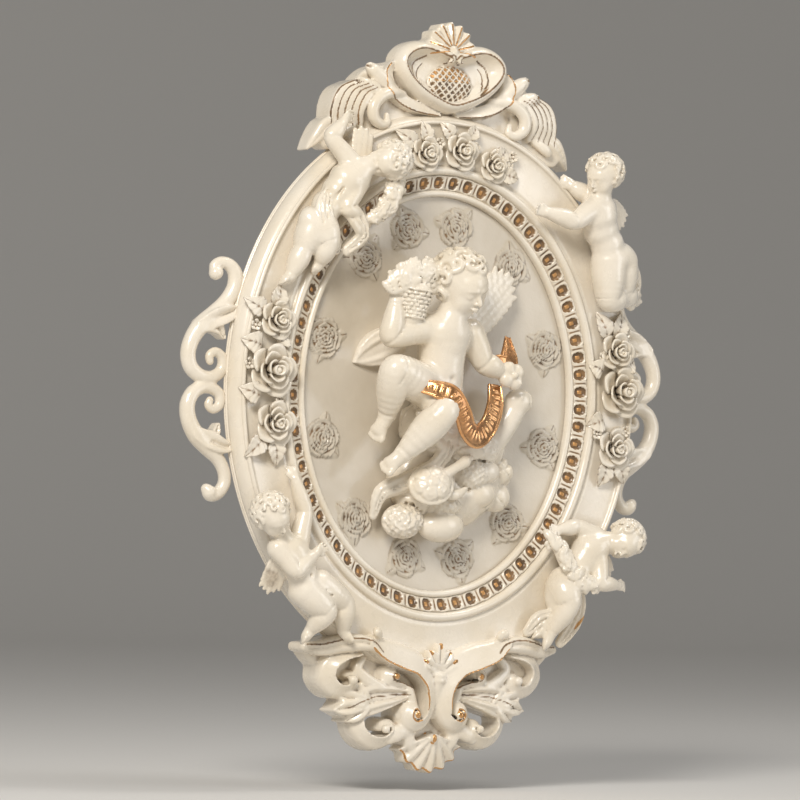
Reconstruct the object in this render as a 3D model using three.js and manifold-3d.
// An oval wall plaque in the rococo style, cast in resin: a wide moulded oval frame with a crest, an apron
// and an openwork bracket at each side, a sunk oval panel with a seated winged child on a rock, four
// winged children and three sprays of roses fixed on the frame.
// Millimetres. The plaque hangs on the plane y = 0 and looks along -y, +z is up, and the origin is the
// middle of the panel's back. A place is written (x, z, h), where h is the height in front of the wall.
import * as THREE from "three";
import { mergeVertices } from "three/addons/utils/BufferGeometryUtils.js";
import Module from "manifold-3d";

const wasm = await Module();
wasm.setup();

// Driving dimensions
const openingHalfWide = 160;
const openingHalfTall = 198.6;
const frameWide = 84.5;
const wallGap = 0.3;
const frameSteps = 40;
const eggSide = 0.62;

const sideUnder = 8;
const sideHigh = 14;
const shoulderIn = 1.3;
const shoulderHigh = 29.5;
const outerBeadHigh = 36.8;
const bandLow = 33;
const bandHigh = 35.5;
const innerBeadHigh = 38.5;
const innerBeadFoot = 35;
const lipFoot = 28.5;
const lipHigh = 30;
const outerBeadIn = 9.3;
const innerBeadOut = 26;
const lipWide = 7;
const beadHalfWide = 4;
const eggHigh = 3;

const rebateWide = 12;
const panelHigh = 23;
const panelDish = 3;
const panelSteps = frameSteps / 2;
const panelRoseHigh = 2.6;
const panelRoseRadius = 19;

const crestRise = 92.5;
const crestThick = 22;
const apronDrop = 99.9;
const apronThick = 22;
const bracketTall = 232;
const bracketThick = 13;

const figureTall = 150;
const childTall = 250;
const roseRadius = 21;
const roseRise = 26;
const stemHigh = 5;
const leafHalfWide = 8.5;
const leafHigh = 13;

const at = (x, z, h) => new THREE.Vector3(x, -h, z);

// A closed mesh as a solid, turned inside out when its faces point inward
function solid(geometry) {
  const bare = geometry.clone();
  bare.deleteAttribute("normal");
  bare.deleteAttribute("uv");
  const merged = mergeVertices(bare, 1e-3);
  const vertProperties = Float32Array.from(merged.attributes.position.array);
  const triVerts = Uint32Array.from(merged.index.array);
  let volume = 0;
  const corner = (i) => new THREE.Vector3().fromArray(vertProperties, 3 * triVerts[i]);
  for (let i = 0; i < triVerts.length; i += 3) {
    volume += corner(i).dot(corner(i + 1).cross(corner(i + 2)));
  }
  if (volume < 0) {
    for (let i = 0; i < triVerts.length; i += 3) {
      [triVerts[i + 1], triVerts[i + 2]] = [triVerts[i + 2], triVerts[i + 1]];
    }
  }
  return new wasm.Manifold(new wasm.Mesh({ numProp: 3, vertProperties, triVerts }));
}

const join = (parts) => parts.reduce((whole, part) => whole.add(part));

// A skin over rings of equal length, closed by a pole at each end
function loft(rings, firstPole, lastPole) {
  const around = rings[0].length;
  const points = [firstPole, ...rings.flat(), lastPole];
  const last = points.length - 1;
  const index = [];
  const vertex = (ring, k) => 1 + ring * around + (k % around);
  for (let k = 0; k < around; k += 1) {
    index.push(0, vertex(0, k + 1), vertex(0, k));
    index.push(last, vertex(rings.length - 1, k), vertex(rings.length - 1, k + 1));
  }
  for (let ring = 0; ring + 1 < rings.length; ring += 1) {
    for (let k = 0; k < around; k += 1) {
      const [a, b] = [vertex(ring, k), vertex(ring, k + 1)];
      const [c, d] = [vertex(ring + 1, k), vertex(ring + 1, k + 1)];
      index.push(a, b, d, a, d, c);
    }
  }
  const geometry = new THREE.BufferGeometry();
  geometry.setAttribute("position", new THREE.Float32BufferAttribute(points.flatMap((p) => p.toArray()), 3));
  geometry.setIndex(index);
  return solid(geometry);
}

// Unit vectors across a path: one in the plane of the plaque and one towards the viewer
function across(tangent) {
  const side = new THREE.Vector3(0, -1, 0).cross(tangent);
  if (side.length() < 0.2) side.set(1, 0, 0);
  side.normalize();
  const front = new THREE.Vector3().crossVectors(tangent, side).normalize();
  return [side, front.y > 0 ? front.negate() : front];
}

const mixAt = (values, t) => {
  const place = t * (values.length - 1);
  const i = Math.min(Math.floor(place), values.length - 2);
  return values[i] + (values[i + 1] - values[i]) * (place - i);
};

// A round tapering limb through its joints, flattened towards the wall by flat
function limb(joints, radii, { sides = 8, steps = 2, flat = 1, dome = 0.75 } = {}) {
  const points = joints.map((joint) => at(...joint));
  const path = new THREE.CatmullRomCurve3(points, false, "centripetal");
  const count = (joints.length - 1) * steps;
  const ring = (centre, tangent, radius) => {
    const [side, front] = across(tangent);
    return Array.from({ length: sides }, (_, k) => {
      const turn = (2 * Math.PI * (k + 0.5)) / sides;
      return centre.clone()
        .addScaledVector(side, radius * Math.cos(turn))
        .addScaledVector(front, radius * flat * Math.sin(turn));
    });
  };
  const stations = Array.from({ length: count + 1 }, (_, i) => {
    const t = i / count;
    return [path.getPoint(t), path.getTangent(t), mixAt(radii, t)];
  });
  const rings = stations.map(([centre, tangent, radius]) => ring(centre, tangent, radius));
  const [first, last] = [stations[0], stations[count]];
  const pole = ([centre, tangent, radius], way) => centre.clone().addScaledVector(tangent, way * dome * radius);
  return loft(rings, pole(first, -1), pole(last, 1));
}

// A moulded band along a curve in the plaque: section points are [across, height], scaled by widths and highs
function band(route, section, widths, highs, base, steps = 3) {
  const points = route.map(([x, z]) => at(x, z, 0));
  const path = new THREE.CatmullRomCurve3(points, false, "centripetal");
  const count = Math.round((route.length - 1) * steps);
  const rings = Array.from({ length: count + 1 }, (_, i) => {
    const t = i / count;
    const [centre, tangent] = [path.getPoint(t), path.getTangent(t)];
    const [side] = across(tangent);
    const [wide, high] = [mixAt(widths, t), mixAt(highs, t)];
    return section.map(([u, v]) => {
      const point = centre.clone().addScaledVector(side, u * wide);
      point.y = -(base + v * high);
      return point;
    });
  });
  const middle = (ring) => ring.reduce((sum, p) => sum.add(p), new THREE.Vector3()).divideScalar(ring.length);
  return loft(rings, middle(rings[0]), middle(rings[count]));
}

const roundBand = [[-1, 0], [-0.55, 0.95], [0.55, 0.95], [1, 0]];
const innerCrest = [[-1, 0], [-0.9, 0.6], [0.6, 1], [1, 0]];
const outerCrest = innerCrest.map(([u, v]) => [-u, v]);
const ridge = [[-1, 0], [0, 1], [1, 0]];

function ball([x, z, h], [wide, tall, deep], round = 7, rings = 5, bump = 0) {
  const geometry = new THREE.SphereGeometry(1, round, rings);
  const place = geometry.attributes.position;
  for (let i = 0; i < place.count; i += 1) {
    const p = new THREE.Vector3().fromBufferAttribute(place, i);
    const lump = 1 + bump * Math.sin(5 * p.x + 9 * p.y) * Math.cos(7 * p.z + 3 * p.x);
    place.setXYZ(i, p.x * wide * lump, p.z * deep * lump, p.y * tall * lump);
  }
  geometry.translate(x, -h, z);
  return solid(geometry);
}

// A flat plate with a closed outline of corners, smoothed into a curve when steps is more than 1
function plate(outline, low, high, steps = 1) {
  const corners = outline.map(([x, z]) => new THREE.Vector2(x, z));
  const closed = new THREE.Shape();
  closed.moveTo(corners[0].x, corners[0].y);
  if (steps > 1) closed.splineThru([...corners.slice(1), corners[0]]);
  else corners.slice(1).forEach((corner) => closed.lineTo(corner.x, corner.y));
  const geometry = new THREE.ExtrudeGeometry(closed, {
    depth: high - low, bevelEnabled: false, curveSegments: steps * corners.length,
  });
  geometry.rotateX(Math.PI / 2);
  geometry.translate(0, -low, 0);
  return solid(geometry);
}

// A fan of flutes round a hub: every second ray is a ridge, and the rim stands further out on the ridges
function fan([x, z, low], radius, middle, spread, flutes, hubHigh, rimHigh) {
  const rays = 2 * flutes + 1;
  const ring = (reach, high, relief) => Array.from({ length: rays }, (_, k) => {
    const turn = middle - spread + (2 * spread * k) / (rays - 1);
    const ridge = k % 2;
    const out = reach * (ridge ? 1 : 0.9);
    return at(x + out * Math.cos(turn), z + out * Math.sin(turn), low + high + relief * ridge);
  });
  const front = [ring(radius * 0.1, hubHigh, 0), ring(radius, rimHigh, 3)];
  const behind = [ring(radius, 0, 0), ring(radius * 0.1, 0, 0)];
  const rows = [...front, ...behind];
  const points = rows.flat();
  const index = [];
  const vertex = (row, k) => (row % rows.length) * rays + k;
  for (let row = 0; row < rows.length; row += 1) {
    for (let k = 0; k + 1 < rays; k += 1) {
      const [a, b, c, d] = [vertex(row, k), vertex(row, k + 1), vertex(row + 1, k), vertex(row + 1, k + 1)];
      index.push(a, d, b, a, c, d);
    }
  }
  for (const [k, way] of [[0, 1], [rays - 1, -1]]) {
    const cap = rows.map((_, row) => vertex(row, k));
    if (way < 0) cap.reverse();
    index.push(cap[0], cap[3], cap[1], cap[1], cap[3], cap[2]);
  }
  const geometry = new THREE.BufferGeometry();
  geometry.setAttribute("position", new THREE.Float32BufferAttribute(points.flatMap((p) => p.toArray()), 3));
  geometry.setIndex(index);
  return solid(geometry);
}

// A pointed leaf with a raised midrib, from its stalk end to its tip
function leaf(start, end, wide, high, base) {
  const route = [0, 0.45, 1].map((t) => [
    start[0] + (end[0] - start[0]) * t, start[1] + (end[1] - start[1]) * t,
  ]);
  return band(route, ridge, [wide * 0.4, wide, wide * 0.1], [high, high, high * 0.6], base, 1);
}

// An open rose: two rings of petals that rise to a bud
function rose([x, z, low], radius, high, tilt) {
  const petals = 4;
  const levels = [[1, 0], [0.95, 0.66], [0.5, 0.9]];
  const rings = levels.map(([reach, level], row) => Array.from({ length: 2 * petals }, (_, k) => {
    const turn = (Math.PI * (k + 0.5 * row)) / petals + tilt;
    const petal = 1 + (row < 2 ? 0.09 : 0.05) * (k % 2 ? 1 : -1);
    const out = radius * reach * petal;
    return at(x + out * Math.cos(turn), z + out * Math.sin(turn), low + high * level);
  }));
  return loft(rings, at(x, z, low), at(x, z, low + high * 0.75));
}

// The frame's oval moulding. Rows run outward-in over the front and back along the wall: [inset, height]
const rowWide = (out) => [openingHalfWide + out, openingHalfTall + out];
const beadOut = frameWide - outerBeadIn;
const mouldingRows = (extra = 0) => [
  [frameWide - sideUnder + extra, -extra], [frameWide + extra, sideHigh + extra],
  [frameWide - shoulderIn + extra, shoulderHigh + extra], [beadOut, outerBeadHigh + extra],
  [beadOut - beadHalfWide, bandLow + extra], [innerBeadOut + 1.6 * beadHalfWide, bandHigh + extra],
  [innerBeadOut, innerBeadHigh + extra], [innerBeadOut - beadHalfWide, innerBeadFoot + extra],
  [lipWide, lipFoot + extra], [lipWide - 2.5, lipHigh + extra], [-extra, lipFoot + extra],
  [-extra, panelHigh + wallGap], [rebateWide + wallGap, panelHigh + wallGap], [rebateWide + wallGap, -extra],
];
const eggRow = 7;

function moulding(extra = 0) {
  const rows = mouldingRows(extra);
  const points = [];
  const index = [];
  const oval = (out, turn, high) => {
    const [wide, tall] = rowWide(out);
    return at(wide * Math.cos(turn), tall * Math.sin(turn), high);
  };
  const turnOf = (i) => (2 * Math.PI * i) / frameSteps;
  for (let i = 0; i < frameSteps; i += 1) {
    rows.forEach(([out, high]) => points.push(oval(out, turnOf(i), high)));
  }
  const vertex = (i, row) => (i % frameSteps) * rows.length + (row % rows.length);
  for (let i = 0; i < frameSteps; i += 1) {
    rows.forEach((_, row) => {
      const [a, b] = [vertex(i, row), vertex(i + 1, row)];
      const [c, d] = [vertex(i, row + 1), vertex(i + 1, row + 1)];
      if (row !== eggRow || extra) {
        index.push(a, b, d, a, d, c);
        return;
      }
      // An egg: the slope between the bead and the lip lifts to a short ridge in each cell
      const [[upper, upperHigh], [lower, lowerHigh]] = [rows[row], rows[row + 1]];
      const crown = [eggSide, 1 - eggSide].map((share) => oval(
        lower + (upper - lower) * share, turnOf(i + 0.5),
        lowerHigh + (upperHigh - lowerHigh) * share + eggHigh,
      ));
      const [e, f] = [points.push(crown[0]) - 1, points.push(crown[1]) - 1];
      index.push(a, b, e, b, f, e, b, d, f, d, c, f, c, e, f, c, a, e);
    });
  }
  const geometry = new THREE.BufferGeometry();
  geometry.setAttribute("position", new THREE.Float32BufferAttribute(points.flatMap((p) => p.toArray()), 3));
  geometry.setIndex(index);
  return solid(geometry);
}

// The crest: a heart-shaped cartouche with a rolled rim, a shell on top and leafy shoulders. Its points are
// [right, up] in hundredths of its rise, from the middle of the frame's top edge
const frameSide = openingHalfWide + frameWide;
const frameTop = openingHalfTall + frameWide;
const mirrored = (side, points) => points.map(([x, ...rest]) => [side * x, ...rest]);
const crestUnit = crestRise / 100;
const crestAt = (points) => points.map(([x, z, ...rest]) => [x * crestUnit, frameTop + z * crestUnit, ...rest]);
const heartMiddle = frameTop + 33.5 * crestUnit;
const heartTurns = (steps) => Array.from({ length: steps }, (_, k) => (2 * Math.PI * k) / steps);
const heartPoint = (turn, grow) => {
  const notch = Math.exp(-((Math.cos(turn) / 0.35) ** 2)) * Math.max(Math.sin(turn), 0);
  const tall = (33 - 8 * notch) * crestUnit + grow;
  return [(61.5 * crestUnit + grow) * Math.cos(turn), heartMiddle + tall * Math.sin(turn)];
};

function heartRim(grow, wide, high, base, steps) {
  const section = [[-1, 0], [-0.8, 0.75], [0.35, 1], [1, 0]];
  const turns = heartTurns(steps);
  const rings = turns.map((turn) => {
    const [x, z] = heartPoint(turn, grow);
    const [nx, nz] = [Math.cos(turn), Math.sin(turn)];
    return section.map(([u, v]) => at(x - nx * u * wide, z - nz * u * wide, base + v * high));
  });
  const around = section.length;
  const points = rings.flat();
  const index = [];
  const vertex = (i, k) => (i % steps) * around + (k % around);
  for (let i = 0; i < steps; i += 1) {
    for (let k = 0; k < around; k += 1) {
      const [a, b, c, d] = [vertex(i, k), vertex(i, k + 1), vertex(i + 1, k), vertex(i + 1, k + 1)];
      index.push(a, b, d, a, d, c);
    }
  }
  const geometry = new THREE.BufferGeometry();
  geometry.setAttribute("position", new THREE.Float32BufferAttribute(points.flatMap((p) => p.toArray()), 3));
  geometry.setIndex(index);
  return solid(geometry);
}

function shoulder(side) {
  const to = (points) => crestAt(mirrored(side, points));
  const section = side > 0 ? innerCrest : outerCrest;
  const thick = crestThick;
  return join([
    plate(to([[43.5, -8], [71, 37.5], [95.5, 40.5], [114.5, 23], [121, 7.5], [142.5, -18.5], [154, -40.5],
      [128, -55], [76, -27]]), 0, thick + 2),
    limb(to([[71, 20, 24], [90.5, 32.5, 26], [97, 37.5, 26]]), [9, 8, 5], { sides: 5, steps: 1 }),
    limb(to([[84.5, 9.5, 24], [104, 18, 27], [112.5, 21, 26]]), [8, 8, 5], { sides: 5, steps: 1 }),
    band(to([[62.5, 11.5], [95.5, 5.5], [97, -14.5], [82, -14.5]]), section, [5, 8, 6, 4], [22, 24, 20, 16], thick - 2, 1),
    band(to([[95.5, 9.5], [119.5, -8], [136.5, -32]]), ridge, [5, 7, 3], [18, 18, 12], thick - 4, 1),
    band(to([[106, 16.5], [128, -3], [148, -32]]), ridge, [5, 7, 3], [16, 16, 10], thick - 6, 1),
  ]);
}

function crest() {
  const base = crestThick;
  const shellFoot = heartMiddle + 33.5 * crestUnit;
  const collar = crestAt([[-64.5, 27], [-47, 6.5], [-15.5, -3], [15.5, -3], [47, 6.5], [64.5, 27]]);
  return join([
    plate(heartTurns(14).map((turn) => heartPoint(turn, 8)), 0, base + 2),
    plate(crestAt([[-54, -16.5], [54, -16.5], [60.5, 18], [-60.5, 18]]), 0, base),
    heartRim(3, 6.5, 12, base, 14),
    ball([0, heartMiddle, base], [27, 18, 7], 8, 4),
    band(collar, roundBand, [3, 5, 5, 5, 5, 3], [10, 14, 18, 18, 14, 10], base, 1),
    fan([0, shellFoot, 6], frameTop + crestRise - shellFoot, Math.PI / 2, 1.75, 5, 24, 15),
    shoulder(-1),
    shoulder(1),
  ]);
}

// The apron: a pair of acanthus scrolls, side scrolls, leaves, a flower on a stalk and a fan at the foot. Its
// points are [right, up] in hundredths of its drop, from the middle of the frame's bottom edge
const apronUnit = apronDrop / 100;
const apronAt = (points) => points.map(([x, z, ...rest]) => [x * apronUnit, z * apronUnit - frameTop, ...rest]);

function apronSide(side) {
  const to = (points) => apronAt(mirrored(side, points));
  const inner = side > 0 ? innerCrest : outerCrest;
  const outer = side > 0 ? outerCrest : innerCrest;
  return join([
    plate(to([[0, 21.5], [39.5, 27], [78, 21.5], [119, 21.5], [111.5, -0.5], [85.5, -9.5], [59.5, -17], [39.5, -46.5],
      [16.5, -69], [0, -71]]), 0, apronThick),
    band(to([[76, 37], [55.5, 18.5], [26, 11], [7.5, -13], [9.5, -39], [24, -49.5], [32.5, -42], [27, -35]]), inner,
      [5, 12, 10, 7, 6, 5.5, 4.5, 3.5], [20, 26, 28, 26, 26, 24, 22, 20], 20, 1),
    band(to([[28, -32.5], [33.5, -19], [55.5, -10], [52, 2.5], [44, -1.5]]), roundBand, [4, 5, 5, 4, 3.5],
      [18, 20, 22, 24, 24], 14, 1),
    band(to([[148, 27], [126, 15.5], [96, 15.5], [76, 33]]), ridge, [5, 11, 11, 6], [16, 30, 34, 34], 10, 1),
    band(to([[129.5, 15], [122, -2.5], [105.5, -16], [92.5, -8.5], [100, -0.5]]), outer, [7, 7, 7, 5, 3.5],
      [22, 26, 26, 22, 20], 10, 1),
    band(to([[35.5, -19], [70, -20], [97, -29.5]]), ridge, [6, 9, 2], [20, 20, 10], 10, 1),
    band(to([[55.5, -21], [80, -32.5], [97, -44]]), ridge, [5, 9, 2], [18, 16, 10], 10, 1),
    band(to([[81.5, -28.5], [85.5, -48.5], [70, -66], [48, -60], [52, -46.5]]), outer, [5, 7, 8, 6, 4],
      [14, 20, 24, 24, 20], 8, 1),
    band(to([[20, -52.5], [35.5, -48.5], [50, -54.5]]), ridge, [9, 11, 6], [22, 24, 20], 6, 1),
  ]);
}

function apron() {
  const stalk = apronAt([[2, 3, 34], [1, -17, 32], [0, -46.5, 26]]);
  const collar = apronAt([[-6.5, -0.5, 38], [10.5, -0.5, 38]]);
  const [foot, flower] = apronAt([[1, -60], [2, 1.5]]);
  return join([
    apronSide(-1),
    apronSide(1),
    fan([...foot, 8], 39.5 * apronUnit, -Math.PI / 2, 1.15, 4, 22, 15),
    fan([...flower, 20], 28 * apronUnit, Math.PI / 2, 0.95, 3, 20, 14),
    limb(stalk, [8, 7, 6], { sides: 6, steps: 1 }),
    limb(collar, [3, 3], { sides: 5, steps: 1 }),
  ]);
}

// A side bracket: two facing scrolls with a leaf each, and a curled horn above and below. Its points are
// [out, up] in hundredths of its height, from the frame's side
function bracket(side) {
  const unit = bracketTall / 100;
  const to = (points) => points.map(([out, up]) => [side * (frameSide + out * unit), up * unit]);
  const thick = bracketThick;
  const horn = [[3.5, 47], [0, 51], [-5.5, 46], [-3.5, 36], [7.5, 28], [16.5, 18.5], [17, 6], [8.5, 1.5],
    [0.5, 5], [3.5, 12]];
  const foot = [[12, -1.5], [17.5, -11], [12.5, -22], [2, -30], [-3.5, -41], [1.5, -47.5], [4, -43.5]];
  const volute = [[12.5, -1], [4.5, -1.5], [0, -7], [6, -9]];
  const leaves = [[[12.5, 22.5], [-4.5, 30.5], 10, 3], [[12, -22.5], [-4.5, -25.5], 9, 3]];
  return join([
    band(to(horn), roundBand, [5, 6, 7, 8, 8, 8, 7, 6, 5, 4], [thick + 1, thick, thick, thick], 0, 1),
    band(to(foot), roundBand, [6, 7, 8, 7, 6, 6, 5], [thick, thick, thick + 1], 0, 1),
    band(to(volute), roundBand, [6, 6, 5, 4], [thick, thick, thick + 1], 0, 1),
    ...leaves.map(([root, tip, wide, proud]) => leaf(...to([root, tip]), wide, thick + proud, 0)),
  ]);
}

// The panel: an oval slab behind the lip, slightly dished, with flat roses round the field
function panelSlab() {
  const [wide, tall] = [openingHalfWide + rebateWide, openingHalfTall + rebateWide];
  const rows = [[1, 0], [1, panelHigh], [0.9, panelHigh - panelDish * 0.5], [0.45, panelHigh - panelDish]];
  const rings = rows.map(([share, high]) => Array.from({ length: panelSteps }, (_, k) => {
    const turn = (2 * Math.PI * k) / panelSteps;
    return at(share * wide * Math.cos(turn), share * tall * Math.sin(turn), high);
  }));
  return loft(rings, at(0, 0, 0), at(0, 0, panelHigh - panelDish));
}

// A flat rose: four broad petals that dish towards a low bud, on a cone sunk in the slab
function flatRose([x, z], radius, tilt) {
  const top = panelHigh - panelDish + 1.5 + panelRoseHigh;
  const rim = Array.from({ length: 8 }, (_, k) => {
    const turn = (2 * Math.PI * k) / 8 + tilt;
    const out = radius * (k % 2 ? 1 : 0.86);
    return at(x + out * Math.cos(turn), z + out * Math.sin(turn), top);
  });
  return loft([rim], at(x, z, 2), at(x, z, top - panelRoseHigh * 0.5));
}

function panelRoses() {
  const clock = [17, 51, 82, 106, 129, 163, 197, 229, 257, 283, 311, 343];
  const out = openingHalfWide - 8 - panelRoseRadius;
  const up = openingHalfTall - 9 - panelRoseRadius;
  return clock.map((degrees) => {
    const turn = (degrees * Math.PI) / 180;
    const centre = [out * 1.06 * Math.cos(turn), up * Math.sin(turn)];
    return flatRose(centre, panelRoseRadius, turn);
  });
}

// A winged child. Joints are [right, up, forward] in hundredths of the figure's height
function child(pose, place, tall, build = 1) {
  const size = tall / 100;
  const to = ([x, z, h]) => [place[0] + x * size, place[1] + z * size, place[2] + h * size];
  const points = (names) => names.map((name) => to(pose[name]));
  const radii = (values) => values.map((value) => value * size * build);
  const head = to(pose.head);
  const face = to(pose.face);
  const toFace = face.map((value, i) => (value - head[i]) * 0.35);
  const skull = head.map((value, i) => value + toFace[i]);
  const arm = radii([6.6, 5.8, 3.8]);
  const leg = radii([10, 8, 4.8, 3.8]);
  return [
    ball(skull, radii([10.5, 11.5, 11]), 5, 4),
    ball(head, radii([13, 13.5, 13]), 6, 5, 0.1),
    limb([skull, ...points(["neck", "chest", "waist", "hips"])], radii([5, 6, 10.5, 10.5, 12]),
      { sides: 6, steps: 1, flat: 0.9 }),
    limb(points(["shoulderA", "elbowA", "handA"]), arm, { sides: 4, steps: 1, dome: 1.3 }),
    limb(points(["shoulderB", "elbowB", "handB"]), arm, { sides: 4, steps: 1, dome: 1.3 }),
    limb(points(["hipC", "kneeC", "ankleC", "toeC"]), leg, { sides: 5, steps: 1 }),
    limb(points(["hipD", "kneeD", "ankleD", "toeD"]), leg, { sides: 5, steps: 1 }),
  ];
}

// A small wing: a flat blade that widens from the shoulder and ends in a blunt tip
function wing(root, tip, wide, thick) {
  const way = (t) => root.map((value, i) => value + (tip[i] - value) * t);
  return limb([root, way(0.4), way(0.8), tip], [wide * 0.55, wide, wide * 0.7, wide * 0.25], {
    sides: 4, steps: 1, flat: thick, dome: 0.3,
  });
}

const bandMiddle = (degrees) => {
  const turn = (degrees * Math.PI) / 180;
  const [wide, tall] = rowWide((beadOut + innerBeadOut) / 2 - 1.5);
  return [wide * Math.cos(turn), tall * Math.sin(turn), bandHigh - 1.5];
};

// A fixed casting: its forms joined, and its back cut to the moulding it is glued on
const seat = moulding(wallGap);
const seated = (parts) => join(parts).subtract(seat);

const upperLeftPose = {
  head: [36.8, 33.7, 18.7], face: [26.5, 28.1, 22.7], neck: [21.8, 28.2, 15.3], chest: [8.9, 18.2, 11.3],
  waist: [-1.5, 4.4, 9], hips: [-12.7, -10.8, 9], shoulderA: [12.9, 30, 10.7], elbowA: [-1.6, 46.1, 8],
  handA: [9.6, 60, 8], shoulderB: [17.1, 16.7, 13.3], elbowB: [6.4, -0.1, 17.3], handB: [23.3, -8.9, 14],
  hipC: [-15, -13.6, 9], kneeC: [-21.4, -29.1, 8], ankleC: [-29, -46, 6], toeC: [-36, -51, 7],
  hipD: [-8.4, -13.3, 10.7], kneeD: [-6, -24.5, 14.7], ankleD: [-8.3, -36.9, 8], toeD: [-11.2, -43, 5.3],
};
const upperRightPose = {
  head: [8.6, 50.3, 21.3], face: [-4.3, 45.1, 25.3], neck: [8.7, 30, 17.3], chest: [10.2, 18.5, 14.7],
  waist: [16.5, 1.9, 11.3], hips: [28.4, -9.7, 10.7], shoulderA: [3.8, 22.7, 18.7], elbowA: [-12.9, 12.7, 20],
  handA: [-36, 18.3, 14.7], shoulderB: [18.8, 24, 10.7], elbowB: [6, 31.9, 7], handB: [-8, 40, 3],
  hipC: [21.6, -13, 12], kneeC: [22.4, -38.4, 12], ankleC: [40.9, -37.8, 5.3], toeC: [54, -34, 0],
  hipD: [34.7, -12, 8], kneeD: [39, -32.4, 5.3], ankleD: [50, -37.1, 0], toeD: [57, -38, -3],
};
const lowerLeftPose = {
  head: [-36.7, 21.7, 17.3], face: [-27.4, 15.4, 20], neck: [-24.5, 6.3, 13.3], chest: [-18, -2, 12],
  waist: [-11.8, -13, 11.3], hips: [-6.4, -22.8, 10.7], shoulderA: [-12.1, 7, 11], elbowA: [-8, 25.7, 10.7],
  handA: [-15.8, 50, 8], shoulderB: [-31, 1, 14.7], elbowB: [-20.4, -13, 21.3], handB: [-0.6, 0.4, 17],
  hipC: [-7.2, -26.7, 13.3], kneeC: [6.9, -38.8, 17.3], ankleC: [0, -51.5, 9.3], toeC: [-5.6, -58.8, 8.7],
  hipD: [4.4, -21.9, 10.7], kneeD: [23.5, -33.4, 12], ankleD: [26.6, -51.2, 8], toeD: [30.7, -58, 9.3],
};
const lowerRightPose = {
  head: [33.5, 11.9, 20], face: [24.9, 2.9, 24], neck: [17.1, 8.1, 16], chest: [7.9, 1.7, 12.7],
  waist: [-0.1, -10.8, 11.3], hips: [-9.4, -21.2, 10.7], shoulderA: [12.9, 11, 12], elbowA: [-2.1, 17.1, 10.7],
  handA: [-18.8, 14, 10.7], shoulderB: [12.3, -6.4, 17.3], elbowB: [11.4, -20.6, 22.7], handB: [29.5, -22.4, 20],
  hipC: [-12.8, -26, 13.3], kneeC: [-11.3, -35.4, 18.7], ankleC: [-20.1, -54.7, 10.7], toeC: [-25, -66, 9],
  hipD: [-12.4, -24.8, 8], kneeD: [-13.5, -41.1, 8], ankleD: [-23.8, -53.6, 5.3], toeD: [-31, -58, 5.3],
};
const seatedPose = {
  head: [-5.8, 43.1, 25.6], face: [-7.6, 36.4, 32], neck: [-9.5, 28.6, 22.4], chest: [-9.6, 22.3, 19],
  waist: [-10, 9.9, 17], hips: [-10, 0.8, 16], shoulderA: [-18, 25, 19], elbowA: [-35.4, 21, 20],
  handA: [-34.1, 37.8, 20.8], shoulderB: [3, 24, 18.5], elbowB: [9.7, 12.8, 19.2], handB: [21.7, 7.7, 19.2],
  hipC: [-18.4, 2, 18.4], kneeC: [-35.7, 7.5, 24], ankleC: [-33.2, -8.9, 15.2], toeC: [-36.5, -18.6, 12],
  hipD: [-11.1, -3.3, 19.2], kneeD: [-16.1, -8.4, 29.6], ankleD: [-27.8, -24.7, 20], toeD: [-34.5, -31.2, 16.8],
};

function cherubUpperLeft() {
  const place = bandMiddle(134);
  const size = figureTall / 100;
  const to = (joint) => joint.map((value, i) => place[i] + value * size);
  const garland = [[48, 22, 12], [42, 12, 17], [35, 2, 17], [26, -7, 13]].map(to);
  return seated([
    ...child(upperLeftPose, place, figureTall),
    wing(to([16, 28, 8]), to([25, 52, 4]), 11, 0.7),
    limb(garland, [6, 11, 11, 6], { sides: 6, steps: 1 }),
    limb([[-10, 12, 13], [-12, -6, 15], [-2, -24, 12]].map(to), [5, 12, 4], { sides: 6, steps: 1, flat: 0.6 }),
  ]);
}

function cherubUpperRight() {
  const place = bandMiddle(41);
  const size = figureTall / 100;
  const to = (joint) => joint.map((value, i) => place[i] + value * size);
  return seated([
    ...child(upperRightPose, place, figureTall),
    wing(to([23, 26, 8]), to([37, 14, 3]), 10, 0.6),
    limb([[40, -12, 6], [50, -24, 0], [48, -40, 0]].map(to), [6, 10, 7], { sides: 6, steps: 1, flat: 0.7 }),
  ]);
}

function cherubLowerLeft() {
  const place = bandMiddle(221);
  const size = figureTall / 100;
  const to = (joint) => joint.map((value, i) => place[i] + value * size);
  return seated([
    ...child(lowerLeftPose, place, figureTall),
    wing(to([-23, -2, 6]), to([-29, -24, 2]), 11, 0.6),
  ]);
}

function cherubLowerRight() {
  const place = bandMiddle(-39);
  const size = figureTall / 100;
  const to = (joint) => joint.map((value, i) => place[i] + value * size);
  const garland = [[-25, 10, 11], [-19, 0, 16], [-14, -10, 19], [-4, -19, 21], [8, -24, 22]].map(to);
  return seated([
    ...child(lowerRightPose, place, figureTall),
    wing(to([15, -2, 7]), to([28, -15, 3]), 10, 0.6),
    limb(garland, [8, 10, 10, 9, 7], { sides: 6, steps: 1 }),
    limb([[-4, -24, 9], [0, -42, 6], [-10, -60, 4]].map(to), [7, 9, 5], { sides: 6, steps: 1, flat: 0.7 }),
    limb([[-16, -46, 6], [-32, -48, 3], [-36, -56, 2]].map(to), [7, 8, 5], { sides: 6, steps: 1, flat: 0.7 }),
  ]);
}

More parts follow.
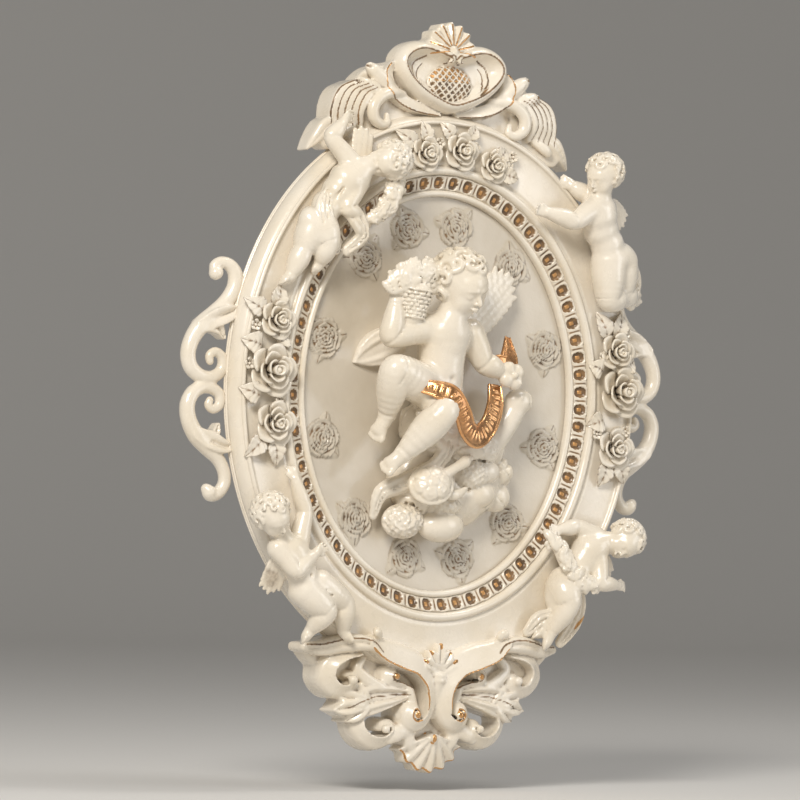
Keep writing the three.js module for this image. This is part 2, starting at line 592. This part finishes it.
// The seated child with its basket of flowers, wings and ribbon, on a rock with a turtle, stones and a bird
function seatedGroup() {
  const size = childTall / 100;
  const floor = panelHigh - panelDish;
  const place = [0, 0, floor + 3.8];
  const to = (joint) => joint.map((value, i) => place[i] + value * size);
  const lump = (joint, radii, bump = 0) => ball(to(joint), radii.map((value) => value * size), 6, 4, bump);
  return join([
    ...child(seatedPose, place, childTall, 0.95),
    limb([[-27, 29, 20], [-27, 33, 20], [-26, 40, 21]].map(to), [9, 12, 15], { sides: 5, steps: 1 }),
    lump([-25.5, 43.5, 20.5], [12, 7.5, 9], 0.12),
    wing(to([-12, 22, 8]), to([-38, 14, -1]), 20, 0.5),
    wing(to([-1, 21, 13]), to([29, 46, 1]), 20, 0.5),
    limb([[-10, 15, 6], [-9, 5, 8], [-4, -10, 10]].map(to), [24, 24, 26], { sides: 5, steps: 1, flat: 0.7 }),
    limb([[-23, 0, 23], [-15, -1, 27.5], [-11, -8, 28.5], [-5, -15, 26], [4, -16.5, 23], [12.5, -11, 20],
      [17, -2, 17], [16.5, 5, 15]].map(to), [6, 9, 9.5, 9.5, 10, 9.5, 9, 8], { sides: 4, steps: 1, flat: 0.45 }),
    limb([[14, 9, 15], [24, 13, 13], [27, 23, 8]].map(to), [7, 8, 3], { sides: 4, steps: 1, flat: 0.45 }),
    lump([22, 7.5, 19], [5, 5, 5], 0.15),
    lump([-3, -14, 8], [20, 16, 13]),
    lump([12, -20, 6], [17, 12, 12], 0.1),
    lump([-6, -34, 6], [17, 15, 9]),
    lump([-13.5, -37, 17], [8.5, 7, 4.5]),
    limb([[-8, -33, 17], [0, -28, 19], [2, -27, 19]].map(to), [5, 6, 5], { sides: 5, steps: 1 }),
    lump([13, -35, 8], [13, 9, 10], 0.16),
    lump([-20, -52, 8], [9, 7, 8], 0.16),
    lump([-2, -54, 8], [10, 6.5, 10]),
    lump([28, -31, 4], [5, 6, 7]),
    lump([27, -41, 4], [6, 6, 6]),
    limb([[22, -16, 6], [26, -9, 10], [31, -3, 13]].map(to), [13, 12, 11], { sides: 5, steps: 1 }),
    limb([[-5, -19, 15], [-10, -30, 14], [-22, -37, 9], [-31, -41, 6], [-31, -50, 3]].map(to), [8, 8, 10, 9, 6], {
      sides: 5, steps: 1, flat: 0.6,
    }),
  ]);
}

const reliefPanel = () => join([panelSlab(), ...panelRoses(), seatedGroup()]);

// A spray of three roses and its leaves, laid on the frame's band. Its places are [right, up] in rose radii
// from the middle rose, whose place on the band is an angle
function spray(angle, blooms, leaves) {
  const low = bandLow - 3;
  const [x, z] = bandMiddle(angle);
  const to = ([right, up]) => [x + right * roseRadius, z + up * roseRadius];
  const roses = blooms.map(([right, up, size], i) => (
    rose([...to([right, up]), low], roseRadius * size, roseRise * size, i)));
  const blades = leaves.map(([root, tip]) => leaf(to(root), to(tip), leafHalfWide, leafHigh, low));
  const ends = blooms.map((bloom) => [...to(bloom), low + stemHigh]);
  return seated([limb(ends, [7, 8, 7], { sides: 4, steps: 1 }), ...roses, ...blades]);
}

const topSpray = () => spray(87.5, [[-2.05, -0.3, 0.8], [0, 0, 0.95], [1.95, -0.6, 0.8]],
  [[[-2.05, -0.3], [-3.6, 0.75]], [[0, 0.3], [-0.7, 1.1]], [[1.95, -0.6], [3.65, -1.1]]]);
const leftSpray = () => spray(176.8, [[0.25, 2.4, 0.85], [0, 0, 1.2], [0.25, -2.4, 1]],
  [[[0.25, 2.4], [0.7, 4.1]], [[0, 0.3], [-1.45, 1.2]], [[0.25, -2.4], [-1, -4.1]], [[0.25, -2.4], [0.7, -4.4]]]);
const rightSpray = () => spray(2.3, [[-0.25, 1.95, 0.9], [0, 0, 1.2], [-0.25, -2.75, 1]],
  [[[-0.25, 1.95], [-1.2, 3.9]], [[-0.25, 1.95], [0.3, 3.9]], [[0, 0.3], [1.3, 1.4]], [[-0.25, -2.75], [-0.8, -4.6]],
    [[-0.25, -2.75], [0.7, -4.4]]]);

const glaze = { color: 0xece4d4, roughness: 0.22, metalness: 0 };
const pieces = {
  oval_frame: join([moulding(), crest(), apron(), bracket(-1), bracket(1)]),
  relief_panel: reliefPanel(),
  cherub_upper_left: cherubUpperLeft(),
  cherub_upper_right: cherubUpperRight(),
  cherub_lower_left: cherubLowerLeft(),
  cherub_lower_right: cherubLowerRight(),
  roses_top: topSpray(),
  roses_left: leftSpray(),
  roses_right: rightSpray(),
};

// The scene: one named mesh for each casting
const plaque = new THREE.Group();
for (const [name, whole] of Object.entries(pieces)) {
  const { vertProperties, triVerts } = whole.getMesh();
  const geometry = new THREE.BufferGeometry();
  geometry.setAttribute("position", new THREE.Float32BufferAttribute(vertProperties, 3));
  geometry.setIndex([...triVerts]);
  geometry.computeVertexNormals();
  const mesh = new THREE.Mesh(geometry, new THREE.MeshStandardMaterial(glaze));
  mesh.name = name;
  plaque.add(mesh);
}

export default plaque;
